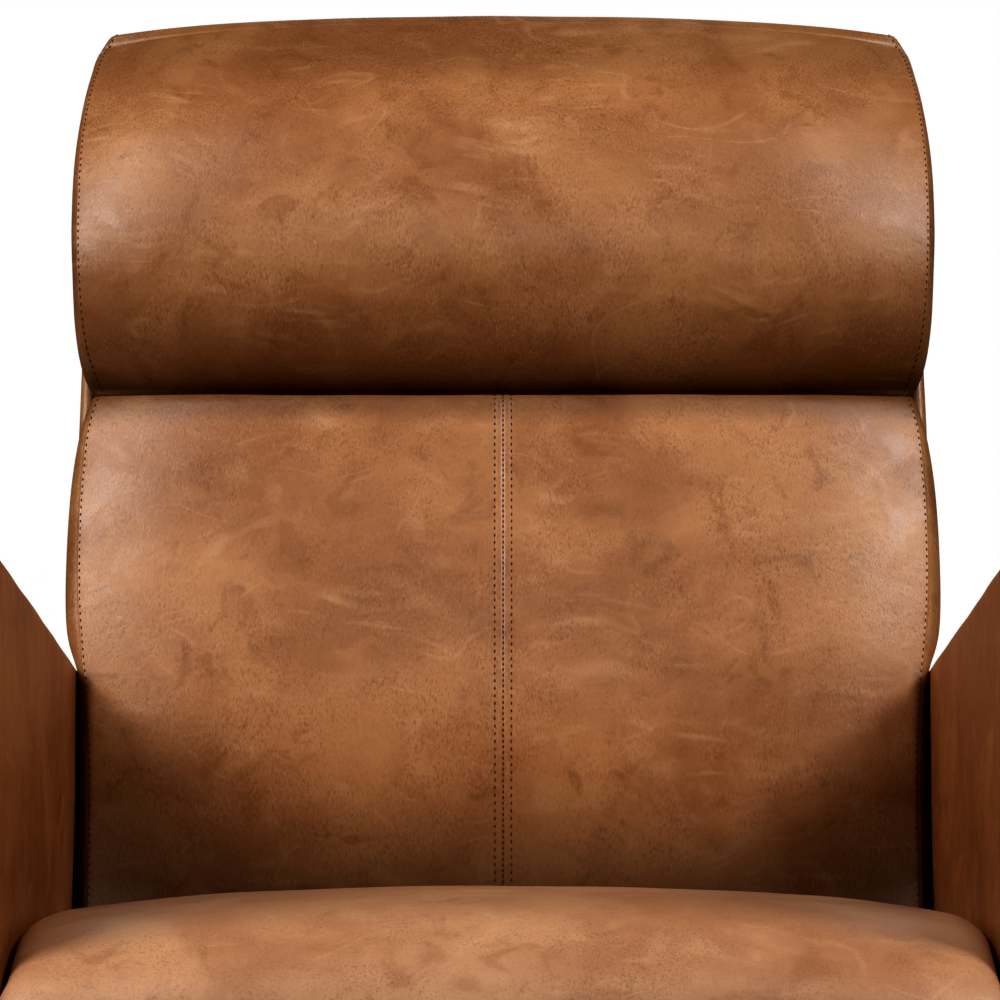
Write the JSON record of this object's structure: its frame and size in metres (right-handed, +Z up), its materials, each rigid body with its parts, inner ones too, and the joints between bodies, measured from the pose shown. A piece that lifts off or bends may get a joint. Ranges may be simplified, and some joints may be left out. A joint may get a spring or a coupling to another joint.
{
  "type": "swivel rocker",
  "caption": "Upholstered lounge chair with a head pillow, a seamed back cushion, sloping arms and a crowned seat, which rocks on a sprung axle and turns on a ring base.",
  "frame": {"origin": "on the floor, at the middle of the chair's width and depth, which is also the swivel axis", "axes": "+Z up, -Y towards the front where the sitter faces, +X to the right as seen from in front"},
  "size_m": [0.739, 0.802, 1.0738],
  "materials": {
    "leather": "satin",
    "wood": "matte",
    "black_steel": "satin",
    "zinc_steel": "satin",
    "rubber": "matte",
    "strip": "matte",
    "nylon": "satin",
    "webbing": "matte",
    "liner": "matte"
  },
  "bodies": {
    "base": {"floor_strip": "strip", "base_ring": "black_steel", "base_spider": "black_steel", "lower_race": "zinc_steel"},
    "ball_cage": {"ball_cage": "nylon"},
    "rocker_base": {"upper_race": "zinc_steel", "rocker_base": "black_steel", "stop_rubber_front": "rubber", "stop_rubber_rear": "rubber", "king_bolt": "zinc_steel", "king_nut": "zinc_steel", "rocker_axle": "zinc_steel", "axle_clip_left": "zinc_steel", "axle_clip_right": "zinc_steel", "rock_spring_front_left": "zinc_steel", "rock_spring_front_right": "zinc_steel", "rock_spring_rear_left": "zinc_steel", "rock_spring_rear_right": "zinc_steel"},
    "chair": {"bush_left": "nylon", "bush_right": "nylon", "seat_plate": "black_steel", "mount_bolt_front_left": "zinc_steel", "mount_bolt_front_right": "zinc_steel", "mount_bolt_rear_left": "zinc_steel", "mount_bolt_rear_right": "zinc_steel", "mount_rail_left": "wood", "mount_rail_right": "wood", "side_rail_left": "wood", "side_rail_right": "wood", "front_rail": "wood", "rear_rail": "wood", "seat_spring_1": "black_steel", "seat_spring_2": "black_steel", "seat_spring_3": "black_steel", "seat_spring_4": "black_steel", "seat_spring_5": "black_steel", "front_panel": "leather", "rear_panel": "leather", "dust_cover": "liner", "arm_frame_left": "wood", "arm_frame_right": "wood", "arm_cover_left": "leather", "arm_cover_right": "leather", "arm_bolt_left_1": "zinc_steel", "arm_bolt_left_2": "zinc_steel", "arm_bolt_right_1": "zinc_steel", "arm_bolt_right_2": "zinc_steel", "seat_cushion": "leather", "back_frame": "wood", "bracket_blade_left": "zinc_steel", "bracket_blade_right": "zinc_steel", "bracket_sleeve_left": "zinc_steel", "bracket_sleeve_right": "zinc_steel", "back_strap_1": "webbing", "back_strap_2": "webbing", "back_strap_3": "webbing", "back_cushion": "leather", "head_pillow": "leather", "back_shell": "leather"}
  },
  "joints": [
    {"name": "swivel", "type": "hinge", "parent": "base", "child": "rocker_base", "pos_m": [0, 0, 0.12], "axis": [0, 0, 1], "continuous": true},
    {"name": "cage_turn", "type": "hinge", "parent": "base", "child": "ball_cage", "pos_m": [0, 0, 0.12], "axis": [0, 0, 1], "continuous": true},
    {"name": "rock", "type": "hinge", "parent": "rocker_base", "child": "chair", "pos_m": [0, 0, 0.19], "axis": [-1, 0, 0], "range_deg": [-8, 12], "stiffness_Nm_per_rad": 600, "deforming": ["rock_spring_front_left", "rock_spring_front_right", "rock_spring_rear_left", "rock_spring_rear_right"]}
  ],
  "couplings": [
    {"joint": "cage_turn", "follows": "swivel", "ratio": 0.5}
  ]
}
